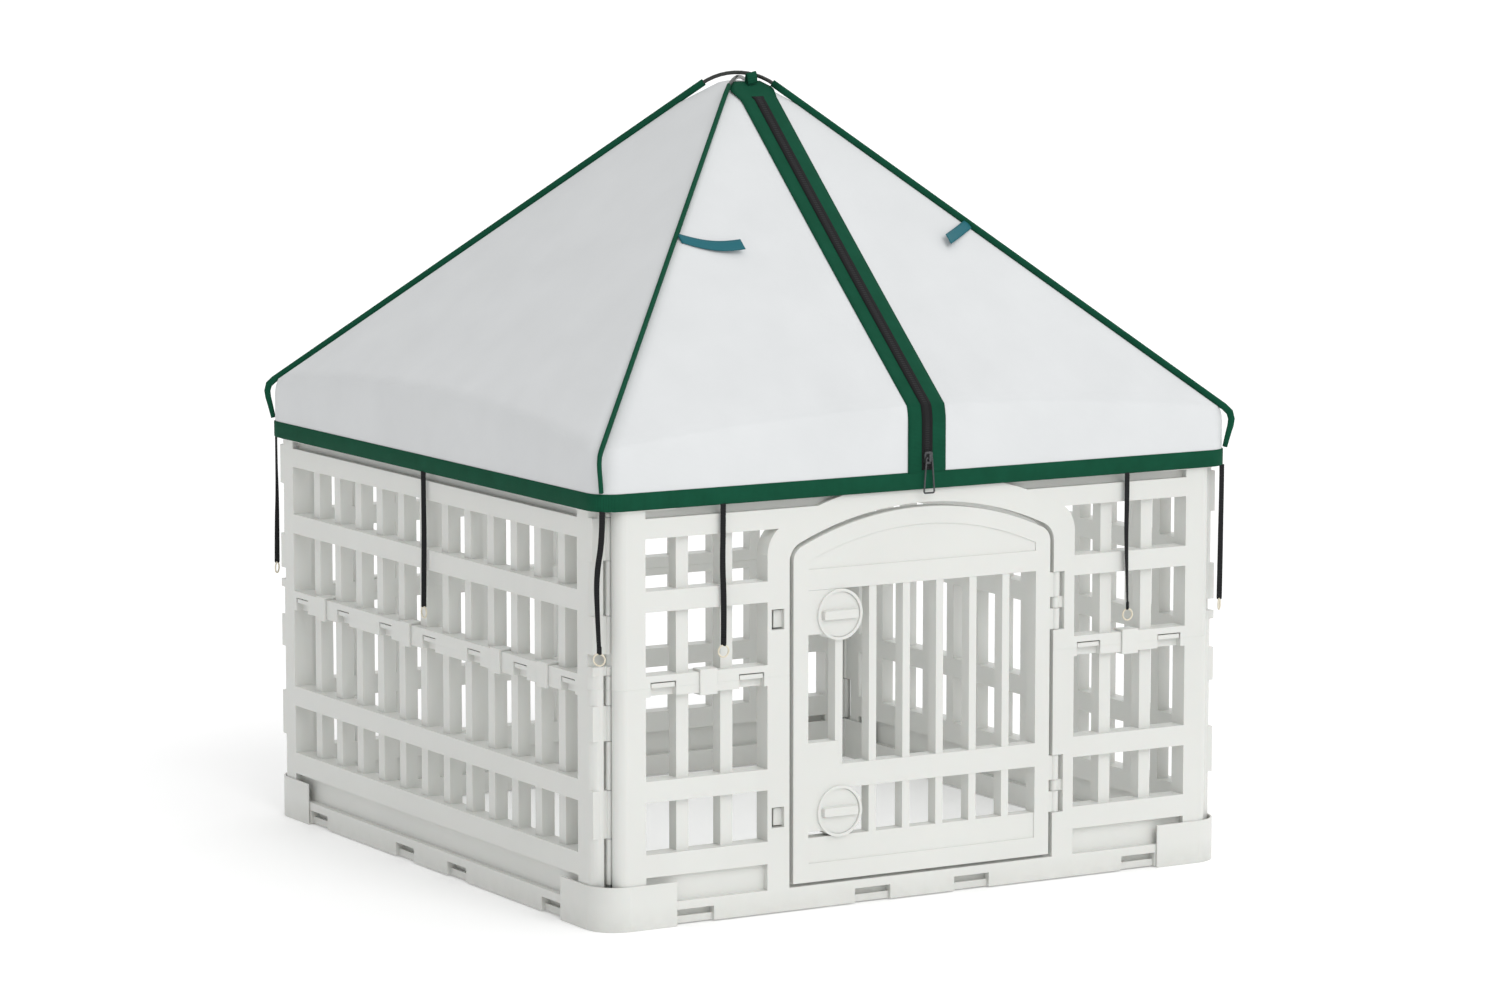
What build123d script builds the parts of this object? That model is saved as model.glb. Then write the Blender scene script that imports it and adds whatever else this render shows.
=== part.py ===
from build123d import *
import math
import os

os.makedirs("parts", exist_ok=True)

# ---------------------------------------------------------------- driving sizes, millimetres
pen_width = 900.0            # outer face to outer face, the same both ways
lower_height = 289.5         # lower half of a panel
upper_height = 266.5         # upper half, which stands on it
ground_gap = 2.0             # the feet's floor lifts the panels off the ground
wall = 26.0                  # thickness of a panel
bar_width = 17.0
bar_recess = 8.5             # bars and webs lie this far behind the outer face
bar_pitch = 61.0
web_back_face = 17.5         # depth of the back of the sunk webs

# corner stile, measured in from the outer face of the panel that it meets
stile_width = 60.0
stile_step = 38.0            # where the full thickness stops
stile_lip = 21.0             # where the outer lip ends
stile_round = 14.0

# rails of the lower half, up from the panel's foot
base_rail_height = 28.0
web_height = 32.5
bottom_rail_height = 27.8
low_rail_foot = 151.3
low_rail_height = 25.9
joint_rail_lower = 10.5      # depth of the joint rail in the lower half, below the joint

# rails of the upper half, down from the panel's head
joint_rail_upper = 15.0      # depth of the joint rail in the upper half, above the joint
crest_rail_height = 30.0
top_rail_height = 24.2
high_rail_head = 149.6
high_rail_height = 25.4

# corner hinge
hinge_inset = 23.0           # hinge axis in from the outer faces
barrel_radius = 5.0
pin_radius = 2.5
pin_clearance = 0.1
web_back = 6.0               # thickness of the web that carries a barrel
knuckle_gap = 0.6
side_knuckles_low = [(109.0, 168.0), (227.0, 270.0)]      # up from the panel's foot
side_knuckles_high = [(60.0, 112.0), (178.0, 250.0)]      # down from the panel's head
window_head = 224.0          # the gap between lower and upper pin, down from the head
window_height = 15.0

# corner feet and caps
shell_wall = 2.5
shell_clearance = 0.5
shell_round = 41.0
shell_height = 54.5
shell_arm = 101.0            # how far a foot's arm reaches in from the outer face

# doorway and door
door_half = 191.0            # half width of the doorway
door_frame = 31.0            # width of the moulded frame round it
arch_drop = 68.0             # crown of the doorway's arch below the panel's head
arch_radius = 430.0
arch_shoulder = 25.0
door_gap = 5.5
sill_gap = 4.0
leaf_depth = 20.0
leaf_stile = 21.0
leaf_bar_width = 10.5
leaf_bar_pitch = 48.3
leaf_bar_depth = (1.0, 18.0)
leaf_foot_rail = 54.5        # solid foot of the leaf below its lower opening
leaf_panel_foot = 23.0       # foot of the sunk panel in it
leaf_low_bars = 58.3         # height of the lower opening
leaf_mid_rail = 29.4
leaf_high_drop = 97.3        # head of the upper opening below the crown of the doorway
leaf_arch_rail = 21.0
crescent_drop = 71.7
panel_groove = 1.4           # depth of the shallow sunk panels on the door

# door hinge
door_axis_gap = 6.0          # hinge axis beyond the edge of the doorway
door_axis_depth = 7.0
door_barrel = 6.2
frame_barrel = 5.2
door_pin = 2.0
running = 0.05               # radial clearance of the door on its pins
hinge_pocket = 16.0          # width of the notch in the frame for the hinge
low_hinge_foot = 84.4        # up from the panel's foot
high_hinge_drop = 172.6      # foot of the upper hinge below the crown of the doorway
hinge_steps = (26.0, 14.6, 31.0)

# latch knobs and bolts
low_knob_height = 116.6      # up from the panel's foot
high_knob_drop = 129.0       # below the crown of the doorway
housing_radius = 31.5
housing_rim = 3.9            # rim of the housing round the dial
housing_proud = 3.0
housing_back = 24.0
plate_half = 22.5            # half height of the plate that carries a latch
dial_depth = 6.0
dial_gap = 0.4
dial_face = 0.6              # face of the dial in front of the panels' outer face
grip_height = 13.0
grip_inset = 2.4             # ends of the grip inside the dial
grip_proud = 5.6
shaft_radius = 6.0
bolt_depth = (9.5, 17.0)
bolt_height = 13.6
bolt_length = 36.0
bolt_inset = 1.0             # a withdrawn bolt's tip behind the edge of the leaf
bolt_clearance = 0.4
strike_lip = 7.5             # frame left between the doorway and the window for the bolt
strike_width = 17.5
strike_height = 25.0
strike_depth = 20.0
tongue_reach = 11.7          # tongue that covers the bolt inside the window
tongue_depth = (6.0, 8.6)

# snap joint between the halves
tab_width = 32.0
tab_pitch = 122.0
tab_rise = 5.5
tab_depth = 9.0
tab_thickness = 4.0
tab_clearance = 1.5
clip_width = 24.0
clip_wall = 3.0
clip_depth = 16.0
side_clips = [-305.0, -61.0, 183.0, 305.0]
front_clips = [-305.0, 305.0]

# base notches
notch_width = 51.0
notch_height = 17.5
notch_depth = 12.0
notch_places = [-322.0, -72.0, 72.0, 322.0]

# canopy
cloth = 1.5                  # cloth solids stand for cloth and seam allowance together
skirt_ease = 5.0             # skirt outside the panels' outer faces
canopy_round = 30.0
skirt_overlap = 48.0         # how far the skirt hangs below the panels' heads
eaves_rise = 20.0            # eaves above the panels' heads
roof_rise = 429.0            # apex of the slopes' planes above the eaves
crown_half = 20.0
shoulder_half = 55.0
crown_rise = 402.0
hem_height = 20.0
hem_drop = 2.0
pole_radius = 2.5
sleeve_gap = 0.3             # air between a pole and its sleeve
sleeve_wall = 1.2
pole_foot_out = 5.5          # pole's foot outside the corner of the skirt, along the diagonal
pole_foot_drop = 42.0        # below the eaves
elbow_out = 15.3
elbow_radius = 23.0
upper_bow = 86.0             # radius in which the upper pole bends over the crown
pole_crossing = 0.65         # air between the poles where they cross
sleeve_top = 72.0            # where the sleeves end, along the diagonal from the apex

# zip and trim
tape_width = 54.0
tape_thickness = 1.0
coil_width = 15.0
coil_thickness = 0.8
zip_top = 40.0               # distance of the zip's top end from the apex, along Y
slider_gap = 0.3
slider_rise = 28.0           # slider's foot above the foot of the skirt
slider_size = (12.0, 15.0, 3.0)
puller_wire = 2.2
puller_top = 8.0
puller_foot = 15.0
puller_length = 43.0
bridge_clearance = 0.8
ribbon_width = 15.0
ribbon_lift = 0.2            # cloth bound to cloth leaves this much air in the solids

# hanging straps
strap_width = 7.0
strap_thickness = 1.2
ring_radius = 7.0
ring_wire = 1.1

# ---------------------------------------------------------------- derived places
face = pen_width / 2
front_face = Plane.XZ.offset(face)
inner_face = face - wall
foot = ground_gap
joint_level = foot + lower_height
head = joint_level + upper_height
stile_inner = face - stile_width
stile_back = face - stile_step
stile_end = face - stile_lip
hinge_line = face - hinge_inset
shell_reach = face - shell_arm
side_bars = 2 * int((stile_inner - bar_width / 2) / bar_pitch)
side_knuckles = [(foot + low, foot + high) for low, high in side_knuckles_low]
side_knuckles += [(head - high, head - low) for low, high in reversed(side_knuckles_high)]
knuckle_ends = [level for zone in side_knuckles for level in zone]
front_knuckles = list(zip([foot + shell_height - ground_gap + knuckle_gap, *knuckle_ends[1::2]],
                          [*knuckle_ends[::2], head - shell_height]))
pin_window = (head - window_head - window_height, head - window_head)

base_rail = (foot, foot + base_rail_height)
bottom_rail = (base_rail[1] + web_height, base_rail[1] + web_height + bottom_rail_height)
low_rail = (foot + low_rail_foot, foot + low_rail_foot + low_rail_height)
joint_rail_low = (joint_level - joint_rail_lower, joint_level)
joint_rail_high = (joint_level, joint_level + joint_rail_upper)
crest_rail = (head - crest_rail_height, head)
top_rail = (crest_rail[0] - web_height - top_rail_height, crest_rail[0] - web_height)
high_rail = (head - high_rail_head - high_rail_height, head - high_rail_head)
web_depth = (bar_recess, web_back_face)

door_sill = base_rail[1]
arch_crown = head - arch_drop
arch_centre = arch_crown - arch_radius
leaf_base = door_sill + sill_gap
leaf_low_opening = (leaf_base + leaf_foot_rail, leaf_base + leaf_foot_rail + leaf_low_bars)
leaf_high_opening = (leaf_low_opening[1] + leaf_mid_rail, arch_crown - leaf_high_drop)
crescent_base = arch_crown - crescent_drop
door_axis_x = door_half + door_axis_gap
door_axis_y = door_axis_depth - face
hinge_notch = door_half + hinge_pocket
hinge_bases = [foot + low_hinge_foot, arch_crown - high_hinge_drop]
knob_heights = [foot + low_knob_height, arch_crown - high_knob_drop]
dial_radius = housing_radius - housing_rim
strike = (-door_half - strike_lip - strike_width, -door_half - strike_lip)

canopy_half = face + skirt_ease
skirt_base = head - skirt_overlap
eaves = head + eaves_rise
virtual_apex = eaves + roof_rise
crown_height = eaves + crown_rise
slider_base = skirt_base + slider_rise
sleeve_radius = pole_radius + sleeve_gap + sleeve_wall
slope = math.atan(roof_rise / canopy_half)
hip_ratio = 1 - canopy_round / canopy_half * (1 - math.sqrt(0.5))


def slab(x, z, depth, mode=Mode.ADD):
    """A block between two x, two heights and two depths behind the front face."""
    with Locations(((x[0] + x[1]) / 2, (depth[0] + depth[1]) / 2 - face, (z[0] + z[1]) / 2)):
        Box(x[1] - x[0], depth[1] - depth[0], z[1] - z[0], mode=mode)


def bands(x, heights):
    """Rectangles across x at each pair of heights, in a sketch on the front face."""
    for low, high in heights:
        with Locations(((x[0] + x[1]) / 2, (low + high) / 2)):
            Rectangle(x[1] - x[0], high - low)


def arched(half_width, base, radius, shoulder):
    """An upright opening with an arched head and rounded shoulders, on the front face."""
    spring = arch_centre + math.sqrt(radius**2 - half_width**2)
    with BuildSketch(front_face) as outline:
        with BuildLine():
            Polyline((half_width, spring), (half_width, base), (-half_width, base), (-half_width, spring))
            ThreePointArc((-half_width, spring), (0, arch_centre + radius), (half_width, spring))
        make_face()
        fillet(outline.vertices().group_by(Axis.Y)[-1], shoulder)
    return outline.sketch


doorway = arched(door_half, door_sill, arch_radius, arch_shoulder)
door_surround = arched(door_half + door_frame, door_sill, arch_radius + door_frame, arch_shoulder + 15)


def bar_places(has_door):
    """Centres of the bars along a panel; a panel with a door has none in front of it."""
    first = -(side_bars - 1) / 2 * bar_pitch
    places = [first + n * bar_pitch for n in range(side_bars)]
    return [x for x in places if not has_door or abs(x) > door_half + door_frame]


def tab_places(has_door):
    """Centres of the snap tabs along a panel."""
    places = [n * tab_pitch for n in range(-3, 4)]
    return [x for x in places if not has_door or abs(x) > door_half + door_frame]


def stile_profile():
    """Plan of a corner stile: full thickness inboard, a rounded outer lip at its end."""
    with BuildSketch(Plane.XY) as plan:
        with BuildLine():
            Polyline((stile_end, stile_round - face), (stile_back, stile_round - face),
                     (stile_back, -inner_face), (stile_inner, -inner_face), (stile_inner, -face),
                     (stile_end - stile_round, -face))
            RadiusArc((stile_end - stile_round, -face), (stile_end, stile_round - face), -stile_round)
        make_face()
        mirror(about=Plane.YZ)
    return plan.sketch


def knuckle_profile(full):
    """Plan of a hinge knuckle: a barrel on a thin web, or on a full-thickness block."""
    root = stile_inner + 15
    with BuildSketch(Plane.XY) as plan:
        if full:
            with Locations(((root + hinge_line + 1) / 2, -(face + inner_face) / 2)):
                Rectangle(hinge_line + 1 - root, wall)
        else:
            with Locations(((root + hinge_line) / 2, web_back / 2 - inner_face - web_back)):
                Rectangle(hinge_line - root, web_back)
        with Locations((hinge_line, -hinge_line)):
            Circle(barrel_radius)
            Circle(pin_radius + pin_clearance, mode=Mode.SUBTRACT)
        mirror(about=Plane.YZ)
    return plan.sketch


def panel_half(upper, side, has_door):
    """One moulded half of a panel in the front position, with its outer face towards -Y."""
    low, high = (joint_level, head) if upper else (foot, joint_level)
    rails = [joint_rail_high, high_rail, top_rail, crest_rail] if upper else [
        base_rail, bottom_rail, low_rail, joint_rail_low]
    web = (top_rail[1], crest_rail[0]) if upper else (base_rail[1], bottom_rail[0])
    with BuildPart() as half:
        # corner stiles
        extrude(Plane.XY.offset(low) * stile_profile(), amount=high - low)
        # rails, flush with the outer face
        with BuildSketch(front_face):
            bands((-stile_inner - 1, stile_inner + 1), rails)
        extrude(amount=-wall)
        # the sunk web beside the outermost rail
        slab((-stile_inner - 1, stile_inner + 1), (web[0] - 1, web[1] + 1), web_depth)
        # upright bars, behind the outer face
        with BuildSketch(front_face.offset(-bar_recess)):
            bar_low, bar_high = (low, top_rail[1]) if upper else (bottom_rail[0], high)
            for x in bar_places(has_door):
                with Locations((x, (bar_low + bar_high) / 2)):
                    Rectangle(bar_width, bar_high - bar_low)
        extrude(amount=bar_recess - wall)
        # frame round the doorway
        if has_door:
            with BuildSketch(front_face) as frame:
                add(door_surround)
                with Locations((0, (low + high) / 2)):
                    Rectangle(pen_width, high - low, mode=Mode.INTERSECT)
            extrude(amount=-wall)
            extrude(doorway, amount=-wall, mode=Mode.SUBTRACT)
            for knob_height in knob_heights:
                if low < knob_height < high:
                    strike_z = (knob_height - strike_height / 2, knob_height + strike_height / 2)
                    slab(strike, strike_z, (0, strike_depth), mode=Mode.SUBTRACT)
                    slab((strike[1] - tongue_reach, strike[1]), (strike_z[0] + 2, strike_z[1] - 2), tongue_depth)
                    hole = bolt_height / 2 + bolt_clearance
                    slab((strike[1] - 1, 1 - door_half), (knob_height - hole, knob_height + hole),
                         (bolt_depth[0] - bolt_clearance, bolt_depth[1] + bolt_clearance), mode=Mode.SUBTRACT)
            for base in hinge_bases:
                if low < base < high:
                    middle = (base + hinge_steps[0] + 0.3, base + hinge_steps[0] + hinge_steps[1] - 0.3)
                    slab((door_half - 1, hinge_notch), (base - 0.5, base + sum(hinge_steps) + 0.5), (0, wall),
                         mode=Mode.SUBTRACT)
                    slab((door_axis_x, hinge_notch + 1), middle, (door_axis_depth - 3, door_axis_depth + 3))
                    with Locations((door_axis_x, door_axis_y, sum(middle) / 2)):
                        Cylinder(frame_barrel, middle[1] - middle[0])
                        Cylinder(door_pin, hinge_steps[1] * 2, mode=Mode.SUBTRACT)
        # base notches with a low lip set back inside
        if not upper:
            for x in notch_places:
                reach = (x - notch_width / 2, x + notch_width / 2)
                slab(reach, (0, foot + notch_height), (0, notch_depth), mode=Mode.SUBTRACT)
                slab(reach, (foot, foot + notch_height / 2), (notch_depth - 7, notch_depth - 4))
        # snap joint: tabs on the lower half enter slots in the upper half
        for x in tab_places(has_door):
            slot = (x - tab_width / 2 - tab_clearance, x + tab_width / 2 + tab_clearance)
            back = tab_depth + tab_thickness
            if upper:
                slab(slot, (joint_level, joint_level + tab_rise + tab_clearance), (0, back + tab_clearance),
                     mode=Mode.SUBTRACT)
            else:
                slab(slot, joint_rail_low, (0, tab_depth), mode=Mode.SUBTRACT)
                slab((x - tab_width / 2, x + tab_width / 2), (joint_level - 6, joint_level + tab_rise), (tab_depth, back))
                slab((x - tab_width / 2, x + tab_width / 2), (joint_level, joint_level + tab_rise), (1, back))
        # hinge knuckles at both ends
        for zone in side_knuckles if side else front_knuckles:
            bottom = max(zone[0] + knuckle_gap / 2, low)
            top = min(zone[1] - knuckle_gap / 2, high)
            if top > bottom:
                extrude(Plane.XY.offset(bottom) * knuckle_profile(side), amount=top - bottom)
        # the passage for the corner pins, and the window between them
        with Locations(*[(end * hinge_line, -hinge_line, (low + high) / 2) for end in (-1, 1)]):
            Cylinder(pin_radius + pin_clearance, high - low, mode=Mode.SUBTRACT)
        if upper and side:
            for end in (-1, 1):
                ends = sorted((end * (stile_back + 3), end * (hinge_line + barrel_radius + 1)))
                slab(ends, pin_window, (-1, wall + 3), mode=Mode.SUBTRACT)
    return half.part


# ---------------------------------------------------------------- panels
half_names = {False: "lower", True: "upper"}
for upper in (False, True):
    front_half = panel_half(upper, side=False, has_door=True)
    back_half = panel_half(upper, side=False, has_door=False)
    side_half = panel_half(upper, side=True, has_door=False)
    placed = {"front": (front_half, 0), "right": (side_half, 90), "back": (back_half, 180), "left": (side_half, -90)}
    for place, (shape, turn) in placed.items():
        with BuildPart() as panel:
            add(shape.rotate(Axis.Z, turn))
        name = f"{place}_panel_{half_names[upper]}"
        panel.part.label = name
        export_step(panel.part, f"parts/{name}.step")

# ---------------------------------------------------------------- corner pins, lower and upper at each corner
with BuildPart() as corner_pins:
    for low, high in ((foot, pin_window[0]), (pin_window[1], head)):
        with BuildSketch(Plane.XY.offset(low)):
            with GridLocations(2 * hinge_line, 2 * hinge_line, 2, 2):
                Circle(pin_radius)
        extrude(amount=high - low)
corner_pins.part.label = "corner_pins"
export_step(corner_pins.part, "parts/corner_pins.step")


# ---------------------------------------------------------------- corner feet and caps
def corner_shell():
    """A foot for the front right corner, floor at z = 0: an angle channel that boots both panel ends."""
    outer = face + shell_clearance + shell_wall
    with BuildPart() as shell:
        with BuildSketch(Plane.XY):
            RectangleRounded(2 * outer, 2 * outer, shell_round)
            inside = 2 * (inner_face - shell_clearance - shell_wall)
            Rectangle(inside, inside, mode=Mode.SUBTRACT)
            centre = (outer + shell_reach) / 2
            with Locations((centre, -centre)):
                Rectangle(outer - shell_reach, outer - shell_reach, mode=Mode.INTERSECT)
        extrude(amount=shell_height)
        with BuildSketch(Plane.XY.offset(ground_gap)):
            channel = 2 * (face + shell_clearance)
            RectangleRounded(channel, channel, shell_round - shell_wall)
            inside = 2 * (inner_face - shell_clearance)
            Rectangle(inside, inside, mode=Mode.SUBTRACT)
        extrude(amount=shell_height, mode=Mode.SUBTRACT)
    return shell.part


foot_shape = corner_shell()
cap_shape = foot_shape.mirror(Plane.XY).translate((0, 0, head + ground_gap))
for corner, turn in {"front_right": 0, "back_right": 90, "back_left": 180, "front_left": 270}.items():
    for kind, shape in (("foot", foot_shape), ("cap", cap_shape)):
        with BuildPart() as shell:
            add(shape.rotate(Axis.Z, turn))
        name = f"{kind}_{corner}"
        shell.part.label = name
        export_step(shell.part, f"parts/{name}.step")

# ---------------------------------------------------------------- clips over the snap joint
with BuildPart() as joint_clips:
    for turn, places in ((0, front_clips), (90, side_clips), (180, side_clips), (-90, side_clips)):
        with BuildPart(mode=Mode.PRIVATE) as row:
            for x in places:
                reach = (x - clip_width / 2, x + clip_width / 2)
                slab(reach, (joint_rail_low[0] - clip_wall, joint_rail_high[1] + clip_wall), (-clip_wall, clip_depth))
                slab(reach, (joint_rail_low[0], joint_rail_high[1]), (0, clip_depth), mode=Mode.SUBTRACT)
        add(row.part.rotate(Axis.Z, turn))
joint_clips.part.label = "joint_clips"
export_step(joint_clips.part, "parts/joint_clips.step")

# ---------------------------------------------------------------- door leaf
knob_x = -2.5 * leaf_bar_pitch
leaf_half = door_half - door_gap
leaf_radius = arch_radius - door_gap
opening_half = leaf_half - leaf_stile
with BuildPart() as door_leaf:
    extrude(arched(leaf_half, leaf_base, leaf_radius, arch_shoulder - door_gap), amount=-leaf_depth)
    # the two barred openings
    for opening in (leaf_low_opening, leaf_high_opening):
        slab((-opening_half, opening_half), opening, (-1, leaf_depth + 1), mode=Mode.SUBTRACT)
        for n in range(6):
            x = (n - 2.5) * leaf_bar_pitch
            slab((x - leaf_bar_width / 2, x + leaf_bar_width / 2), (opening[0] - 1, opening[1] + 1), leaf_bar_depth)
    # plates that carry the latches, and the stiffener over the middle rail
    for z in knob_heights:
        slab((-opening_half - 1, knob_x), (z - plate_half, z + plate_half), (0, leaf_bar_depth[1]))
        slab((-opening_half - 1, knob_x), (z, z + housing_radius), (0, leaf_bar_depth[1]))
    slab((-opening_half - 1, knob_x), (leaf_high_opening[0] - 1, leaf_high_opening[0] + leaf_mid_rail),
         (0, leaf_bar_depth[1]))
    # shallow sunk panels under the arch and at the foot
    with BuildSketch(front_face):
        with Locations((0, arch_centre)):
            Circle(leaf_radius - leaf_arch_rail)
        with Locations((0, crescent_base + arch_radius / 2)):
            Rectangle(2 * opening_half - 1, arch_radius, mode=Mode.INTERSECT)
    extrude(amount=-panel_groove, mode=Mode.SUBTRACT)
    slab((0.5 - opening_half, opening_half - 0.5), (leaf_base + leaf_panel_foot, leaf_low_opening[0]),
         (-1, panel_groove), mode=Mode.SUBTRACT)
    # latch housings, each with a sunk seat for the dial and a bore for its shaft
    with BuildSketch(front_face.offset(housing_proud)):
        with Locations(*[(knob_x, z) for z in knob_heights]):
            Circle(housing_radius)
    extrude(amount=-housing_proud - housing_back)
    with BuildSketch(front_face.offset(housing_proud)):
        with Locations(*[(knob_x, z) for z in knob_heights]):
            Circle(dial_radius + dial_gap)
    extrude(amount=-dial_depth - dial_gap, mode=Mode.SUBTRACT)
    with BuildSketch(front_face):
        with Locations(*[(knob_x, z) for z in knob_heights]):
            Circle(shaft_radius + running)
    extrude(amount=-housing_back, mode=Mode.SUBTRACT)
    # channels for the bolts
    for z in knob_heights:
        hole = bolt_height / 2 + bolt_clearance
        slab((-leaf_half - 1, bolt_inset + bolt_length + 1 - leaf_half), (z - hole, z + hole),
             (bolt_depth[0] - bolt_clearance, bolt_depth[1] + bolt_clearance), mode=Mode.SUBTRACT)
    # hinge knuckles
    for base in hinge_bases:
        upper_start = base + hinge_steps[0] + hinge_steps[1]
        for low, high in ((base, base + hinge_steps[0]), (upper_start, base + sum(hinge_steps))):
            slab((leaf_half - 2, door_axis_x), (low, high), (door_axis_depth - 4, door_axis_depth + 4))
            with Locations((door_axis_x, door_axis_y, (low + high) / 2)):
                Cylinder(door_barrel, high - low)
                Cylinder(door_pin + running, high - low + 1, mode=Mode.SUBTRACT)
door_leaf.part.label = "door_leaf"
export_step(door_leaf.part, "parts/door_leaf.step")

# ---------------------------------------------------------------- door hinge pins, fixed in the frame
with BuildPart() as door_pins:
    for base in hinge_bases:
        with BuildSketch(Plane.XY.offset(base + 1)):
            with Locations((door_axis_x, door_axis_y)):
                Circle(door_pin)
        extrude(amount=sum(hinge_steps) - 2)
door_pins.part.label = "door_pins"
export_step(door_pins.part, "parts/door_pins.step")


# ---------------------------------------------------------------- latch knobs and bolts
def knob(height):
    """A round dial, sunk a little behind its rim, with a grip bar across it and a short shaft."""
    with BuildPart() as dial:
        with BuildSketch(front_face.offset(dial_face)):
            with Locations((knob_x, height)):
                Circle(dial_radius)
        extrude(amount=housing_proud - dial_face - dial_depth)
        with BuildSketch(front_face.offset(dial_face)):
            with Locations((knob_x, height)):
                RectangleRounded(2 * (dial_radius - grip_inset), grip_height, grip_height / 4)
        extrude(amount=grip_proud, taper=14)
        with BuildSketch(front_face.offset(housing_proud - dial_depth)):
            with Locations((knob_x, height)):
                Circle(shaft_radius)
        extrude(amount=housing_proud - dial_depth - housing_back + 2 * dial_depth - 2 * housing_proud)
    return dial.part


def bolt(height):
    """A flat sliding bolt with a chamfered tip, withdrawn into the leaf."""
    with BuildPart() as bar:
        tip = bolt_inset - leaf_half
        slab((tip, tip + bolt_length), (height - bolt_height / 2, height + bolt_height / 2), bolt_depth)
        chamfer(bar.faces().sort_by(Axis.X)[0].edges(), 2)
    return bar.part


for level, height in zip(("lower", "upper"), knob_heights):
    for kind, maker in (("latch_knob", knob), ("latch_bolt", bolt)):
        with BuildPart() as piece:
            add(maker(height))
        name = f"{kind}_{level}"
        piece.part.label = name
        export_step(piece.part, f"parts/{name}.step")


# ---------------------------------------------------------------- canopy cloth: four slopes and four skirts
def roof_solid(lowered):
    """The roof as a solid: flat slopes with rounded hips and a low crown, lowered by a depth."""
    shoulder = virtual_apex - shoulder_half * math.tan(slope)
    with BuildPart() as solid:
        sections = ((canopy_half, eaves), (shoulder_half, shoulder), (crown_half, crown_height))
        for half_width, height in sections:
            with BuildSketch(Plane.XY.offset(height - lowered)):
                RectangleRounded(2 * half_width, 2 * half_width, half_width * canopy_round / canopy_half)
        loft(ruled=True)
    return solid.part


def quarter(shape, turn):
    """The part of a four-sided shape that faces one way: front at 0 degrees, right at 90."""
    with BuildPart() as piece:
        add(shape.rotate(Axis.Z, -turn))
        split(bisect_by=Plane((0, 0, 0), z_dir=(1, -1, 0)), keep=Keep.TOP)
        split(bisect_by=Plane((0, 0, 0), z_dir=(-1, -1, 0)), keep=Keep.TOP)
    return piece.part.rotate(Axis.Z, turn)


with BuildPart() as roof_shell:
    add(roof_solid(0))
    add(roof_solid(cloth / math.cos(slope)), mode=Mode.SUBTRACT)
    with BuildSketch(Plane.XY.offset(eaves)):
        Rectangle(pen_width, pen_width)
        Rectangle(2 * (canopy_half - cloth - 10), 2 * (canopy_half - cloth - 10), mode=Mode.SUBTRACT)
    extrude(amount=-wall, mode=Mode.SUBTRACT)

with BuildPart() as skirt_ring:
    with BuildSketch(Plane.XY.offset(skirt_base)):
        RectangleRounded(2 * canopy_half, 2 * canopy_half, canopy_round)
        RectangleRounded(2 * (canopy_half - cloth), 2 * (canopy_half - cloth), canopy_round - cloth, mode=Mode.SUBTRACT)
    extrude(amount=eaves - skirt_base)

for place, turn in {"front": 0, "right": 90, "back": 180, "left": 270}.items():
    for kind, shape in (("roof", roof_shell.part), ("skirt", skirt_ring.part)):
        with BuildPart() as cloth_piece:
            add(quarter(shape, turn))
        name = f"{kind}_{place}"
        cloth_piece.part.label = name
        export_step(cloth_piece.part, f"parts/{name}.step")

# ---------------------------------------------------------------- hem band round the foot of the skirt
with BuildPart() as hem_band:
    with BuildSketch(Plane.XY.offset(skirt_base - hem_drop)):
        RectangleRounded(2 * (canopy_half + cloth), 2 * (canopy_half + cloth), canopy_round + cloth)
        RectangleRounded(2 * canopy_half, 2 * canopy_half, canopy_round, mode=Mode.SUBTRACT)
    extrude(amount=hem_height)
hem_band.part.label = "hem_band"
export_step(hem_band.part, "parts/hem_band.step")

# ---------------------------------------------------------------- poles and their sleeves along the hips
hip_foot = canopy_half * hip_ratio * math.sqrt(2)
hip_rise = roof_rise / hip_foot
hip_slope = math.atan(hip_rise)
lower_bow = upper_bow + (2 * pole_radius + pole_crossing) / (1 / math.cos(hip_slope) - 1)
crown_radii = {"pole_left_front": lower_bow, "pole_right_front": upper_bow}
pole_lift = (sleeve_radius + ribbon_lift) / math.cos(hip_slope)
pole_foot = (hip_foot + pole_foot_out, eaves - pole_foot_drop)
elbow_reach = hip_foot + elbow_out


def hip_height(distance):
    """Height of a pole's straight run at a distance from the apex along the diagonal."""
    return eaves + pole_lift + (hip_foot - distance) * hip_rise


def diagonal_plane(turn):
    """Upright plane through the apex and one pair of corners, its x axis out to the corner."""
    return Plane((0, 0, 0), x_dir=(math.cos(turn), math.sin(turn), 0), z_dir=(math.sin(turn), -math.cos(turn), 0))


for name, turn in {"pole_left_front": math.radians(225), "pole_right_front": math.radians(315)}.items():
    with BuildPart() as pole:
        with BuildLine(diagonal_plane(turn)) as path:
            elbow = (elbow_reach, hip_height(elbow_reach))
            FilletPolyline(pole_foot, elbow, (0, hip_height(0)), (-elbow[0], elbow[1]), (-pole_foot[0], pole_foot[1]),
                           radius=[elbow_radius, crown_radii[name], elbow_radius])
        with BuildSketch(Plane(path.line @ 0, z_dir=path.line % 0)):
            Circle(pole_radius)
        sweep()
    pole.part.label = name
    export_step(pole.part, f"parts/{name}.step")

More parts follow.
